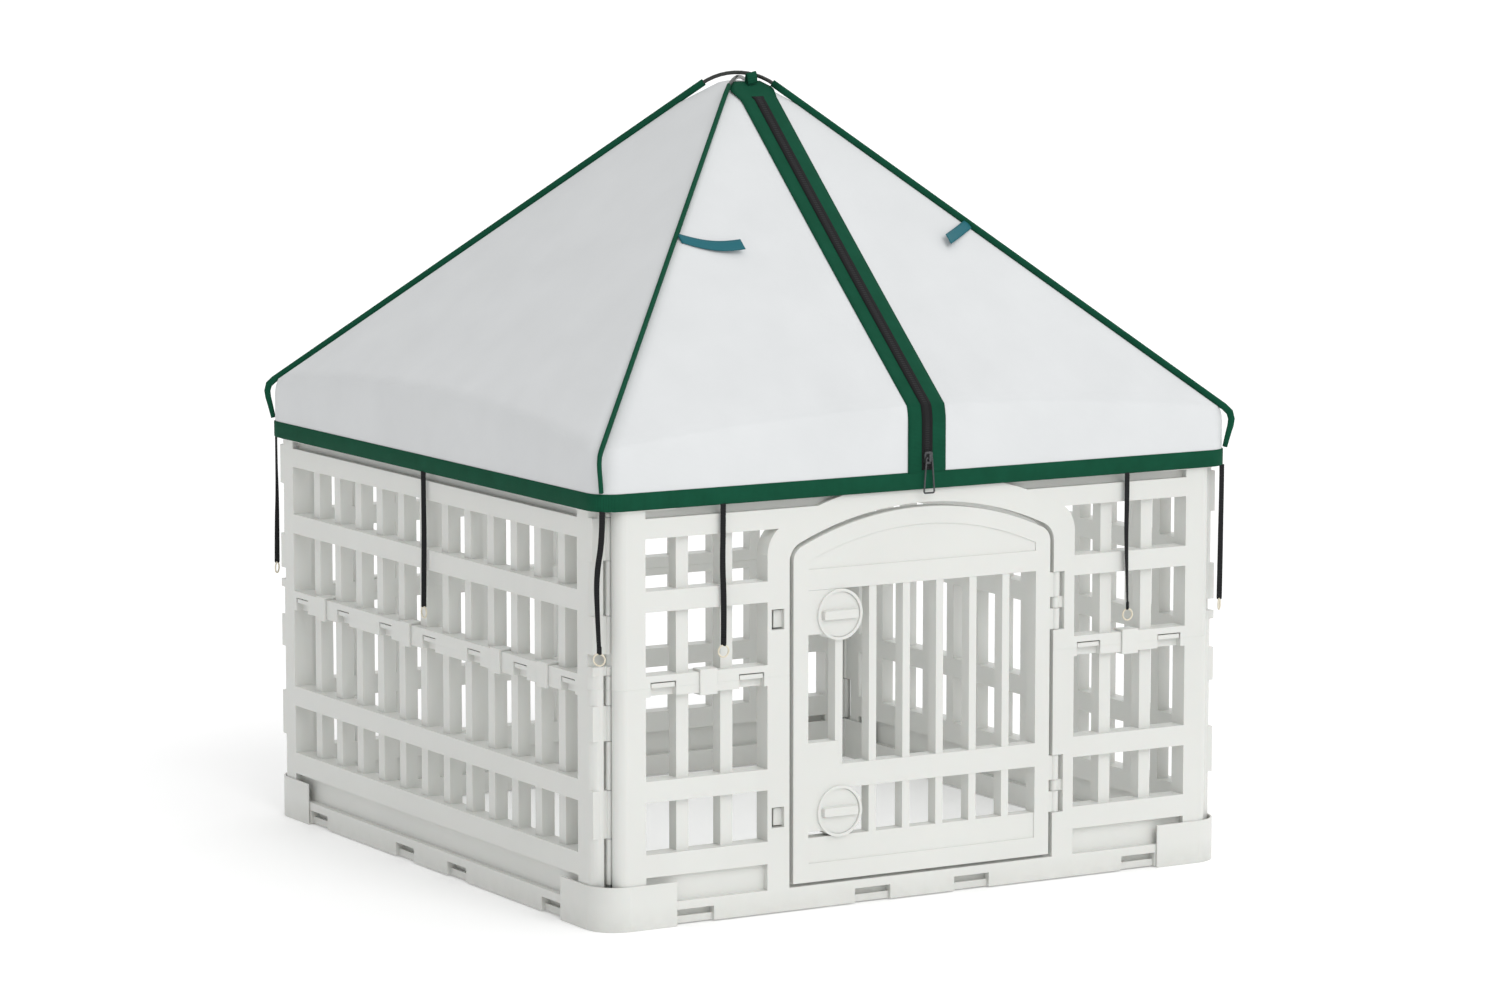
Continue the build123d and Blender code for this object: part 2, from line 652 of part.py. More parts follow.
with BuildPart() as hip_sleeves:
    for quarter_turn in range(4):
        turn = math.radians(45 + 90 * quarter_turn)
        with BuildLine(diagonal_plane(turn)) as path:
            FilletPolyline(pole_foot, (elbow_reach, hip_height(elbow_reach)),
                           (sleeve_top, hip_height(sleeve_top)), radius=elbow_radius)
        with BuildSketch(Plane(path.line @ 0, z_dir=path.line % 0)):
            Circle(sleeve_radius)
            Circle(sleeve_radius - sleeve_wall, mode=Mode.SUBTRACT)
        sweep(path=path.wires()[0])
hip_sleeves.part.label = "hip_sleeves"
export_step(hip_sleeves.part, "parts/hip_sleeves.step")


# ---------------------------------------------------------------- zip: tape, coil, slider and puller
def cloth_line(off):
    """Foot, fold and top of a line up the front cloth, lying off its outer face, as (y, z)."""
    up = (math.cos(slope), math.sin(slope))
    fold = eaves + off * (1 - up[1]) / up[0]
    top_y = -zip_top
    top_z = eaves + (canopy_half - zip_top) * math.tan(slope)
    return [(-canopy_half - off, skirt_base - hem_drop + hem_height), (-canopy_half - off, fold),
            (top_y - off * up[1], top_z + off * up[0])]


def strip(inner, outer, width):
    """A strip up the front cloth between two distances off its face."""
    with BuildPart() as band:
        with BuildSketch(Plane.YZ):
            Polygon(*cloth_line(inner), *reversed(cloth_line(outer)), align=None)
        extrude(amount=width / 2, both=True)
    return band.part


for name, inner, outer, width in (("zip_tape", 0.0, tape_thickness, tape_width),
                                  ("zip_coil", tape_thickness, tape_thickness + coil_thickness, coil_width)):
    with BuildPart() as tape:
        add(strip(inner, outer, width))
    tape.part.label = name
    export_step(tape.part, f"parts/{name}.step")

slider_back = -(canopy_half - face + tape_thickness + coil_thickness + slider_gap)
slider_front = slider_back - slider_size[2]
bridge_hole = puller_wire + bridge_clearance
pivot_z = slider_base + slider_size[1] / 2
with BuildPart() as zip_slider:
    slab((-slider_size[0] / 2, slider_size[0] / 2), (slider_base, slider_base + slider_size[1]),
         (slider_front, slider_back))
    fillet(zip_slider.edges().filter_by(Axis.Y), 3)
    bridge_z = (pivot_z - 4.5, pivot_z + 4.5)
    slab((-1.5, 1.5), bridge_z, (slider_front - bridge_hole - 1.2, slider_front))
    slab((-2, 2), (pivot_z - 2.5, pivot_z + 2.5), (slider_front - bridge_hole, slider_front), mode=Mode.SUBTRACT)
zip_slider.part.label = "zip_slider"
export_step(zip_slider.part, "parts/zip_slider.step")

puller_y = slider_front - bridge_hole / 2
puller_head = pivot_z
puller_end = puller_head - puller_length
with BuildPart() as zip_puller:
    with BuildLine(front_face.offset(-puller_y)) as loop:
        FilletPolyline((puller_top / 2, puller_head), (puller_foot / 2, puller_end), (-puller_foot / 2, puller_end),
                       (-puller_top / 2, puller_head), close=True, radius=puller_top * 0.28)
    with BuildSketch(Plane(origin=loop.line @ 0, z_dir=loop.line % 0)):
        Circle(puller_wire / 2)
    sweep(path=loop.line)
zip_puller.part.label = "zip_puller"
export_step(zip_puller.part, "parts/zip_puller.step")

# ---------------------------------------------------------------- ribbons sewn into the front hips
# each ribbon: x and inset from the eaves of its middle, length and turn on the slope
ribbon_places = [(-166.0, 230.0, 74.0, -18.8), (183.0, 228.0, 46.0, 30.6)]
with BuildPart() as ribbons:
    for x, inset, length, turn in ribbon_places:
        foot = Vector(x, inset - canopy_half, eaves + inset * math.tan(slope))
        lie = Plane(foot, x_dir=(1, 0, 0), z_dir=(0, -math.sin(slope), math.cos(slope)))
        with BuildSketch(lie.offset(ribbon_lift)):
            Rectangle(length, ribbon_width, rotation=turn)
        extrude(amount=tape_thickness)
ribbons.part.label = "ribbons"
export_step(ribbons.part, "parts/ribbons.step")

# ---------------------------------------------------------------- hanging straps, each with a ring at its end
# Each route is sideways and height, seen from outside the pen, from the hem down to the ring.
hem_foot = skirt_base - hem_drop
strap_routes = {
    "front_left": ("front", -287.0, [(0, 0), (0, -32), (-1.0, -74), (1.2, -122), (0.4, -170)]),
    "front_right": ("front", 296.0, [(0, 0), (0, -36), (-0.8, -80), (1.0, -128), (2.2, -171)]),
    "left_middle": ("left", 0.0, [(0, 0), (0, -34), (1.0, -78), (-0.6, -124), (-1.4, -170)]),
    "right_middle": ("right", 0.0, [(0, 0), (0, -33), (-1.1, -76), (0.8, -123), (0.2, -170)]),
    "back_middle": ("back", 0.0, [(0, 0), (0, -35), (0.9, -79), (-1.2, -126), (-0.3, -170)]),
    "near_corner": ("front_left", 0.0, [(0, 0), (0, -34), (-7.4, -76), (-6.6, -122), (-4.2, -169)]),
    "right_corner": ("front_right", 0.0, [(0, 0), (0, -34), (-3.4, -76), (-5.2, -122), (-8.6, -169)]),
    "far_corner": ("back_left", 0.0, [(0, 0), (0, -34), (-1.6, -77), (0.6, -123), (1.6, -169)]),
    "back_corner": ("back_right", 0.0, [(0, 0), (0, -35), (1.4, -78), (-0.9, -124), (-1.8, -169)]),
}
facing = {"front": -90, "right": 0, "back": 90, "left": 180,
          "front_left": -135, "front_right": -45, "back_right": 45, "back_left": 135}


def route_radii(points):
    """Largest tangent arcs for a route: 0.45 of the shorter run over the tangent of half the turn."""
    radii = []
    for before, here, after in zip(points, points[1:], points[2:]):
        run_in = Vector(*here) - Vector(*before)
        run_out = Vector(*after) - Vector(*here)
        half_turn = math.radians(run_in.get_angle(run_out)) / 2
        radii.append(0.45 * min(run_in.length, run_out.length) / math.tan(half_turn))
    return radii


for name, (side, along, points) in strap_routes.items():
    angle = math.radians(facing[side])
    outward = Vector(math.cos(angle), math.sin(angle), 0)
    sideways = Vector(-math.sin(angle), math.cos(angle), 0)
    corner = "_" in side
    reach = canopy_half + cloth / 2
    if corner:
        reach = (canopy_half - canopy_round) * math.sqrt(2) + canopy_round + cloth / 2
    hang = Plane(outward * reach + sideways * along + Vector(0, 0, hem_foot), x_dir=sideways, z_dir=outward)
    radii = route_radii(points)
    with BuildPart() as strap:
        with BuildLine(hang) as path:
            FilletPolyline(*points, radius=radii)
        with BuildSketch(Plane(path.line @ 0, x_dir=sideways, z_dir=path.line % 0)):
            Rectangle(strap_width, strap_thickness)
        sweep()
    strap.part.label = f"strap_{name}"
    export_step(strap.part, f"parts/strap_{name}.step")
    length = sum(edge.length for edge in path.edges())
    print(f"strap_{name} length {length:.1f} length times section {length * strap_width * strap_thickness:.0f}",
          f"solid {strap.part.volume:.0f} radii", [round(r) for r in radii])
    end = hang.from_local_coords(Vector(points[-1][0], points[-1][1] - ring_radius - ring_wire - 0.1, 0))
    with BuildPart() as ring:
        with Locations(Plane(end, x_dir=sideways, z_dir=outward)):
            Torus(ring_radius, ring_wire)
    ring.part.label = f"ring_{name}"
    export_step(ring.part, f"parts/ring_{name}.step")
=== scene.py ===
import math

import bmesh
import bpy
from mathutils import Matrix, Vector


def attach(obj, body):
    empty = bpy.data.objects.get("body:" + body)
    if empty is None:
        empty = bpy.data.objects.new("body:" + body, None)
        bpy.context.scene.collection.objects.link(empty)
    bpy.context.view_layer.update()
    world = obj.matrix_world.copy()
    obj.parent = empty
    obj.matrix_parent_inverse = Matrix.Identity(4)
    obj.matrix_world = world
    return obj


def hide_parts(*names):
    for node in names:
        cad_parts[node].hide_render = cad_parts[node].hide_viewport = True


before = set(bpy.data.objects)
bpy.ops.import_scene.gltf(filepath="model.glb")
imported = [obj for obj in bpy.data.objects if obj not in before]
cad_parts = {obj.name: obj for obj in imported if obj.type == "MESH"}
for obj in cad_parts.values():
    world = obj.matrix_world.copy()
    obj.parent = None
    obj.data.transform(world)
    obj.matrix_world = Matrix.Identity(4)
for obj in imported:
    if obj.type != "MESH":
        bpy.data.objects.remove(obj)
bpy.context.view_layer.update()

# ---------------------------------------------------------------- camera
# A long lens stands low in front of the pen and to its left, looking a little down on it.
camera_turn, camera_pitch = math.radians(-30.434), math.radians(7.4876)
camera_back = Vector((math.sin(camera_turn) * math.cos(camera_pitch),
                      -math.cos(camera_turn) * math.cos(camera_pitch), math.sin(camera_pitch)))
lens = bpy.data.cameras.new("camera")
lens.lens, lens.sensor_width = 127.178, 36
lens.clip_start, lens.clip_end = 0.1, 80
camera = bpy.data.objects.new("camera", lens)
bpy.context.scene.collection.objects.link(camera)
camera.location = (-3.43239, -5.87281, 1.33550)
camera.rotation_mode = "QUATERNION"
camera.rotation_quaternion = (-camera_back).to_track_quat("-Z", "Y")
bpy.context.scene.camera = camera

# ---------------------------------------------------------------- hanging straps
# Nine straps of 7 mm black polypropylene webbing are sewn behind the hem and hang free,
# each with a small tan moulded ring on its end. They tie the canopy to the panels.
strap_width, strap_thickness = 0.007, 0.0012
strap_routes = {
    "front_left": (-90, -0.287, [(0, 0), (0, -32), (-1.0, -74), (1.2, -122), (0.4, -170)]),
    "front_right": (-90, 0.296, [(0, 0), (0, -36), (-0.8, -80), (1.0, -128), (2.2, -171)]),
    "left_middle": (180, 0, [(0, 0), (0, -34), (1.0, -78), (-0.6, -124), (-1.4, -170)]),
    "right_middle": (0, 0, [(0, 0), (0, -33), (-1.1, -76), (0.8, -123), (0.2, -170)]),
    "back_middle": (90, 0, [(0, 0), (0, -35), (0.9, -79), (-1.2, -126), (-0.3, -170)]),
    "near_corner": (-135, 0, [(0, 0), (0, -34), (-7.4, -76), (-6.6, -122), (-4.2, -169)]),
    "right_corner": (-45, 0, [(0, 0), (0, -34), (-3.4, -76), (-5.2, -122), (-8.6, -169)]),
    "far_corner": (135, 0, [(0, 0), (0, -34), (-1.6, -77), (0.6, -123), (1.6, -169)]),
    "back_corner": (45, 0, [(0, 0), (0, -35), (1.4, -78), (-0.9, -124), (-1.8, -169)]),
}
strap_turns = {"front_left": (8, 25, 40), "front_right": (0, -20, -45), "left_middle": (-30, -50, -35),
               "right_middle": (0, -30, -60), "back_middle": (0, 45, 80), "near_corner": (-20, 15, 30),
               "right_corner": (50, 62, 70), "far_corner": (0, 30, 60), "back_corner": (0, -40, -70)}
strap_foot = 0.508
side_reach = 0.45575
corner_reach = (0.455 - 0.030) * math.sqrt(2) + 0.030 + 0.00075


def linear(code):
    parts = [int(code[i:i + 2], 16) / 255 for i in (1, 3, 5)]
    return (*[p / 12.92 if p <= 0.04045 else ((p + 0.055) / 1.055) ** 2.4 for p in parts], 1)


def add_node(material, kind, settings=None, inputs=None):
    made = material.node_tree.nodes.new(kind)
    for name, value in (settings or {}).items():
        setattr(made, name, value)
    for socket, value in (inputs or {}).items():
        if isinstance(value, bpy.types.NodeSocket):
            material.node_tree.links.new(value, made.inputs[socket])
        else:
            made.inputs[socket].default_value = value
    return made


def new_material(name, settings):
    made = bpy.data.materials.new(name)
    made.use_nodes = True
    shader = made.node_tree.nodes["Principled BSDF"]
    for socket, value in settings.items():
        shader.inputs[socket].default_value = value
    return made, shader


# polypropylene webbing: matt black, with ribs across it drawn at 2 mm so that they show
webbing, shader = new_material("black_polypropylene_webbing", {"Roughness": 0.75, "Specular IOR Level": 0.2})
place = add_node(webbing, "ShaderNodeTexCoord").outputs["Object"]
ribs = add_node(webbing, "ShaderNodeTexWave", {"bands_direction": "Z"},
                {"Vector": place, "Scale": 2 * math.pi / 0.002 / 20, "Distortion": 0.6, "Detail": 1.0})
fuzz = add_node(webbing, "ShaderNodeTexNoise", None, {"Vector": place, "Scale": 420.0, "Detail": 3.0})
shade = add_node(webbing, "ShaderNodeMix", {"data_type": "RGBA"},
                 {0: ribs.outputs["Fac"], 6: linear("#0E0E10"), 7: linear("#242527")})
relief = add_node(webbing, "ShaderNodeMath", {"operation": "ADD"},
                  {0: ribs.outputs["Fac"], 1: fuzz.outputs["Fac"]})
bump = add_node(webbing, "ShaderNodeBump", None,
                {"Height": relief.outputs[0], "Strength": 0.5, "Distance": 0.0003})
webbing.node_tree.links.new(shade.outputs[2], shader.inputs["Base Color"])
webbing.node_tree.links.new(bump.outputs["Normal"], shader.inputs["Normal"])

# moulded acetal ring: warm tan, glossy, with faint flow marks
ring_plastic, shader = new_material("tan_moulded_acetal", {"Roughness": 0.3, "IOR": 1.48})
place = add_node(ring_plastic, "ShaderNodeTexCoord").outputs["Object"]
flow = add_node(ring_plastic, "ShaderNodeTexNoise", None, {"Vector": place, "Scale": 160.0, "Detail": 3.0})
shade = add_node(ring_plastic, "ShaderNodeMix", {"data_type": "RGBA"},
                 {0: flow.outputs["Fac"], 6: linear("#C9BFA6"), 7: linear("#E6E0D0")})
bump = add_node(ring_plastic, "ShaderNodeBump", None,
                {"Height": flow.outputs["Fac"], "Strength": 0.2, "Distance": 0.0002})
ring_plastic.node_tree.links.new(shade.outputs[2], shader.inputs["Base Color"])
ring_plastic.node_tree.links.new(bump.outputs["Normal"], shader.inputs["Normal"])

for name, (facing, along, points) in strap_routes.items():
    outward = Vector((math.cos(math.radians(facing)), math.sin(math.radians(facing)), 0))
    sideways = Vector((-outward.y, outward.x, 0))
    reach = corner_reach if "corner" in name else side_reach
    curve = bpy.data.curves.new("webbing_" + name, "CURVE")
    curve.dimensions, curve.twist_mode = "3D", "MINIMUM"
    curve.extrude, curve.bevel_depth = strap_width / 2 - strap_thickness / 2, strap_thickness / 2
    curve.bevel_resolution, curve.resolution_u = 2, 16
    spline = curve.splines.new("NURBS")
    spline.points.add(len(points) - 1)
    first, middle, last = strap_turns[name]
    turns = [first, first, (first + middle) / 2, (middle + last) / 2, last]
    for point, (side, height), turn in zip(spline.points, points, turns):
        level = Vector((0, 0, strap_foot + height / 1000))
        spot = outward * reach + sideways * (along + side / 1000) + level
        point.co = (*spot, 1)
        point.tilt = math.radians(turn - facing)
    spline.order_u = 3
    spline.use_endpoint_u = True
    strap = bpy.data.objects.new("webbing_" + name, curve)
    bpy.context.scene.collection.objects.link(strap)
    curve.materials.append(webbing)
    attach(strap, "canopy")
    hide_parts("strap_" + name)
    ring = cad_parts["ring_" + name]
    ring.data.materials.clear()
    ring.data.materials.append(ring_plastic)

    # the end of the strap is folded round the ring and sewn down in a small thick pad
    end = Vector(spline.points[-1].co[:3])
    pad = bmesh.new()
    bmesh.ops.create_cube(pad, size=1)
    bmesh.ops.scale(pad, verts=pad.verts, vec=(strap_width * 0.92, 0.0032, 0.010))
    bmesh.ops.bevel(pad, geom=pad.edges[:], offset=0.001, segments=2, profile=0.5, affect="EDGES",
                    material=-1)
    turn_round = Matrix.Rotation(math.radians(facing + 90 - last), 3, "Z")
    bmesh.ops.rotate(pad, verts=pad.verts, cent=(0, 0, 0), matrix=turn_round)
    bmesh.ops.translate(pad, verts=pad.verts, vec=end + Vector((0, 0, 0.003)))
    mesh = bpy.data.meshes.new("strap_end_" + name)
    pad.to_mesh(mesh)
    pad.free()
    mesh.materials.append(webbing)
    strap_end = bpy.data.objects.new("strap_end_" + name, mesh)
    bpy.context.scene.collection.objects.link(strap_end)
    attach(strap_end, "canopy")

# ---------------------------------------------------------------- moulded plastic
# Injection-moulded white polypropylene: eight panel halves, four corner feet and caps,
# the door and its two latches. The mould leaves a fine even grain and soft edges.
plastic, shader = new_material("white_moulded_polypropylene",
                               {"Roughness": 0.42, "IOR": 1.49, "Subsurface Weight": 0.04,
                                "Subsurface Scale": 0.004})
place = add_node(plastic, "ShaderNodeTexCoord").outputs["Object"]
clouds = add_node(plastic, "ShaderNodeTexNoise", None, {"Vector": place, "Scale": 7.0, "Detail": 4.0})
shade = add_node(plastic, "ShaderNodeMix", {"data_type": "RGBA"},
                 {0: clouds.outputs["Fac"], 6: linear("#D3D4D0"), 7: linear("#DBDCD8")})
# the lowest 3 cm are greyed towards #9F9E97 in mottled patches, most strongly at the floor
height = add_node(plastic, "ShaderNodeSeparateXYZ", None, {"Vector": place}).outputs["Z"]
low = add_node(plastic, "ShaderNodeMapRange", None, {"Value": height, "From Min": 0.0, "From Max": 0.03,
                                                     "To Min": 0.35, "To Max": 0.0})
mottle_noise = add_node(plastic, "ShaderNodeTexNoise", None, {"Vector": place, "Scale": 60.0, "Detail": 5.0})
floor_greying = add_node(plastic, "ShaderNodeMath", {"operation": "MULTIPLY"},
                {0: low.outputs[0], 1: mottle_noise.outputs["Fac"]})
shade = add_node(plastic, "ShaderNodeMix", {"data_type": "RGBA"},
                 {0: floor_greying.outputs[0], 6: shade.outputs[2], 7: linear("#9F9E97")})
# spark-eroded grain of 0.8 mm, a little coarser than the real one so that it shows
grain = add_node(plastic, "ShaderNodeTexNoise", None, {"Vector": place, "Scale": 900.0, "Detail": 2.0})
ripple = add_node(plastic, "ShaderNodeTexNoise", None, {"Vector": place, "Scale": 9.0, "Detail": 1.0})
bump = add_node(plastic, "ShaderNodeBump", None,
                {"Height": ripple.outputs["Fac"], "Strength": 0.25, "Distance": 0.002})
bump = add_node(plastic, "ShaderNodeBump", None, {"Height": grain.outputs["Fac"], "Strength": 0.12,
                                                  "Distance": 0.0003, "Normal": bump.outputs["Normal"]})
rough = add_node(plastic, "ShaderNodeMapRange", None,
                 {"Value": mottle_noise.outputs["Fac"], "To Min": 0.36, "To Max": 0.5})
plastic.node_tree.links.new(shade.outputs[2], shader.inputs["Base Color"])
plastic.node_tree.links.new(rough.outputs[0], shader.inputs["Roughness"])
plastic.node_tree.links.new(bump.outputs["Normal"], shader.inputs["Normal"])

panel_nodes = [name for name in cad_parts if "_panel_" in name]
latch_nodes = ["latch_knob_lower", "latch_knob_upper", "latch_bolt_lower", "latch_bolt_upper"]
shell_nodes = [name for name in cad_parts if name.startswith(("foot_", "cap_"))]
for name in [*panel_nodes, *shell_nodes, *latch_nodes, "door_leaf", "joint_clips"]:
    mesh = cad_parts[name].data
    mesh.materials.clear()
    mesh.materials.append(plastic)

# mould edges are rounded by about a millimetre, except on the latches
for name in [*panel_nodes, *shell_nodes, "door_leaf", "joint_clips"]:
    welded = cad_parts[name].modifiers.new("welded", "WELD")
    welded.merge_threshold = 0.00001
    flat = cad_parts[name].modifiers.new("flat faces joined", "DECIMATE")
    flat.decimate_type, flat.angle_limit = "DISSOLVE", math.radians(1.5)
    soft_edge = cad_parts[name].modifiers.new("soft edges", "BEVEL")
    soft_edge.width, soft_edge.segments = 0.0009, 2
    soft_edge.limit_method, soft_edge.angle_limit = "ANGLE", math.radians(42)
    soft_edge.harden_normals = True

# ---------------------------------------------------------------- steel pins
# Bright zinc-plated wire pins hold the corners together and carry the door.
zinc, shader = new_material("zinc_plated_steel", {"Metallic": 1.0, "Roughness": 0.32})
place = add_node(zinc, "ShaderNodeTexCoord").outputs["Object"]
drawn = add_node(zinc, "ShaderNodeTexNoise", None, {"Vector": place, "Scale": 240.0, "Detail": 3.0})
shade = add_node(zinc, "ShaderNodeMix", {"data_type": "RGBA"},
                 {0: drawn.outputs["Fac"], 6: linear("#9FA3A5"), 7: linear("#C4C7C9")})
rough = add_node(zinc, "ShaderNodeMapRange", None,
                 {"Value": drawn.outputs["Fac"], "To Min": 0.24, "To Max": 0.42})
zinc.node_tree.links.new(shade.outputs[2], shader.inputs["Base Color"])
zinc.node_tree.links.new(rough.outputs[0], shader.inputs["Roughness"])
for name in ["corner_pins", "door_pins"]:
    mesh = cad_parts[name].data
    mesh.materials.clear()
    mesh.materials.append(zinc)

# ---------------------------------------------------------------- canopy cloth
# One cover of white 210-denier polyester, sewn from four triangles and a straight skirt.
# The poles push out its four hips; between them it bows and sags a little.
canopy_half, canopy_round = 0.455, 0.030
eaves, slope_rise = 0.578, 0.429 / 0.455
shoulder_half, crown_half, crown = 0.055, 0.020, 0.980
shoulder = eaves + slope_rise * (canopy_half - shoulder_half)
slope_out, slope_up = math.sin(math.atan(slope_rise)), math.cos(math.atan(slope_rise))
skirt_rows, fold_rows, slope_rows = 6, 6, 36


def profile(share, row):
    """Half width and height of the cover at a row; share is 0 in mid side and 1 on a corner."""
    bow = 1 - share * share
    fold = 0.5805 + 0.0285 * bow
    if row <= skirt_rows:
        return canopy_half, 0.508 + (fold - 0.0225) * row / skirt_rows - 0.508 * row / skirt_rows
    t = min(1, (row - skirt_rows) / fold_rows)
    if t < 1:
        half = canopy_half - 0.0035 * t * t
        below, beside, above = fold - 0.0225, fold - 0.009, fold + 0.0008
        return half, (1 - t) ** 2 * below + 2 * t * (1 - t) * beside + t * t * above
    t = (row - skirt_rows - fold_rows) / slope_rows
    half = canopy_half - 0.0035 - t * (canopy_half - 0.0035 - crown_half)
    plane = eaves + slope_rise * (canopy_half - half)
    if half < shoulder_half:
        plane = crown + (half - crown_half) / (shoulder_half - crown_half) * (shoulder - crown)
    lift = (0.003 + 0.0255 * (half - crown_half) / (canopy_half - crown_half)) * bow
    return half, plane + lift - 0.0022 * math.sin(math.pi * t) * bow


def square_ring(half, corner, cuts):
    ring = bmesh.new()
    bmesh.ops.create_circle(ring, cap_ends=True, segments=4, radius=half * math.sqrt(2),
                            matrix=Matrix.Rotation(math.radians(45), 4, "Z"))
    bmesh.ops.bevel(ring, geom=ring.verts[:], offset=corner, segments=6, profile=0.5, affect="VERTICES",
                    material=-1)
    sides = [edge for edge in ring.edges if edge.calc_length() > 4 * corner]
    bmesh.ops.subdivide_edges(ring, edges=sides, cuts=cuts)
    bmesh.ops.delete(ring, geom=ring.faces[:], context="FACES_ONLY")
    return ring


def grow_rows(sheet, rows):
    """Extrudes the ring upwards; each vertex keeps its place in plan, and its height is its row."""
    edges = sheet.edges[:]
    for row in range(rows):
        grown = bmesh.ops.extrude_edge_only(sheet, edges=edges)["geom"]
        edges = [part for part in grown if isinstance(part, bmesh.types.BMEdge)]
        risen = [part for part in grown if isinstance(part, bmesh.types.BMVert)]
        bmesh.ops.translate(sheet, verts=risen, vec=(0, 0, 1))
    return edges


def face_outwards(sheet):
    bmesh.ops.recalc_face_normals(sheet, faces=sheet.faces[:])
    if sum(face.normal.dot(face.calc_center_median()) for face in sheet.faces) < 0:
        bmesh.ops.reverse_faces(sheet, faces=sheet.faces[:])


def make_piece(sheet, name, material, body="canopy"):
    mesh = bpy.data.meshes.new(name)
    sheet.to_mesh(mesh)
    sheet.free()
    mesh.materials.append(material)
    for polygon in mesh.polygons:
        polygon.use_smooth = True
    piece = bpy.data.objects.new(name, mesh)
    bpy.context.scene.collection.objects.link(piece)
    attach(piece, body)
    return piece


cover = square_ring(canopy_half, canopy_round, 59)
total_rows = skirt_rows + fold_rows + slope_rows
top = grow_rows(cover, total_rows)
weave_map = cover.loops.layers.uv.new("weave")
for face in cover.faces:
    middle = face.calc_center_median()
    level = abs(middle.y) > abs(middle.x)
    for loop in face.loops:
        x, y, row = loop.vert.co
        share = min(abs(x), abs(y)) / max(abs(x), abs(y))
        half, height = profile(share, row)
        run = height if row <= skirt_rows + fold_rows else height / slope_out
        loop[weave_map].uv = ((x if level else y) * half / canopy_half, run)
for vert in cover.verts:
    x, y, row = vert.co
    share = min(abs(x), abs(y)) / max(abs(x), abs(y))
    half, height = profile(share, row)
    # faint creases run down the slopes from the stitching at the eaves
    climb = (row - skirt_rows) / (total_rows - skirt_rows)
    side = (x if abs(y) > abs(x) else y) + (0.19 if x > y else 0.0) + (0.07 if x > -y else 0.0)
    wave = math.sin(side * 76 + 1.1) + 0.6 * math.sin(side * 133 + 0.4)
    crease = 0.0016 * math.exp(-climb / 0.13) * wave
    crease *= min(1, max(0, climb * 12)) * (1 - share ** 4)
    vert.co = (x * (half + slope_out * crease) / canopy_half, y * (half + slope_out * crease) / canopy_half,
               height + slope_up * crease)
tip = bmesh.ops.extrude_edge_only(cover, edges=top)["geom"]
bmesh.ops.pointmerge(cover, verts=[part for part in tip if isinstance(part, bmesh.types.BMVert)],
                     merge_co=(0, 0, 0.984))
face_outwards(cover)

# woven polyester: threads of 0.5 mm are drawn at 1.4 mm so that the weave shows as a faint grid
cloth, shader = new_material("white_woven_polyester", {"Roughness": 0.8, "Sheen Weight": 0.05,
                                                       "Specular IOR Level": 0.2})
spread = add_node(cloth, "ShaderNodeUVMap", {"uv_map": "weave"}).outputs["UV"]
place = add_node(cloth, "ShaderNodeTexCoord").outputs["Object"]
warp = add_node(cloth, "ShaderNodeTexWave", {"bands_direction": "X"},
                {"Vector": spread, "Scale": 2 * math.pi / 0.0014 / 20, "Distortion": 0.35, "Detail": 1.0})
weft = add_node(cloth, "ShaderNodeTexWave", {"bands_direction": "Y"},
                {"Vector": spread, "Scale": 2 * math.pi / 0.0014 / 20, "Distortion": 0.35, "Detail": 1.0})
threads = add_node(cloth, "ShaderNodeMath", {"operation": "MULTIPLY"},
                   {0: warp.outputs["Fac"], 1: weft.outputs["Fac"]})
slubs = add_node(cloth, "ShaderNodeTexNoise", None, {"Vector": place, "Scale": 12.0, "Detail": 5.0})
folds = add_node(cloth, "ShaderNodeTexNoise", None, {"Vector": place, "Scale": 5.0, "Detail": 2.0})
shade = add_node(cloth, "ShaderNodeMix", {"data_type": "RGBA"},
                 {0: slubs.outputs["Fac"], 6: linear("#D6D8D9"), 7: linear("#E0E2E3")})
shade = add_node(cloth, "ShaderNodeMix", {"data_type": "RGBA", "blend_type": "MULTIPLY"},
                 {0: 0.06, 6: shade.outputs[2], 7: threads.outputs[0]})
bump = add_node(cloth, "ShaderNodeBump", None,
                {"Height": folds.outputs["Fac"], "Strength": 0.35, "Distance": 0.006})
bump = add_node(cloth, "ShaderNodeBump", None,
                {"Height": threads.outputs[0], "Strength": 0.18, "Distance": 0.0004,
                                                "Normal": bump.outputs["Normal"]})
cloth.node_tree.links.new(shade.outputs[2], shader.inputs["Base Color"])
cloth.node_tree.links.new(bump.outputs["Normal"], shader.inputs["Normal"])
canopy = make_piece(cover, "canopy_cover", cloth)
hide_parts(*[f"{part}_{side}" for part in ("roof", "skirt")
                      for side in ("front", "right", "back", "left")])
shell = canopy.modifiers.new("thickness", "SOLIDIFY")
shell.thickness, shell.offset = 0.0008, -1

# ---------------------------------------------------------------- hem binding
# A 20 mm binding of dark-green polyester tape is folded over the skirt's edge and sewn
# through with two rows of stitches.
hem_line = [(0.4538, 0.5215), (0.4536, 0.5078), (0.4549, 0.5068), (0.4562, 0.5080), (0.4563, 0.5268),
            (0.4556, 0.5282)]
hem = square_ring(canopy_half, canopy_round, 59)
grow_rows(hem, len(hem_line) - 1)
binding_map = hem.loops.layers.uv.new("weave")
for face in hem.faces:
    middle = face.calc_center_median()
    for loop in face.loops:
        x, y, row = loop.vert.co
        loop[binding_map].uv = (x if abs(middle.y) > abs(middle.x) else y, hem_line[round(row)][1])
for vert in hem.verts:
    half, height = hem_line[round(vert.co.z)]
    vert.co = (vert.co.x * half / canopy_half, vert.co.y * half / canopy_half, height)
bmesh.ops.recalc_face_normals(hem, faces=hem.faces[:])
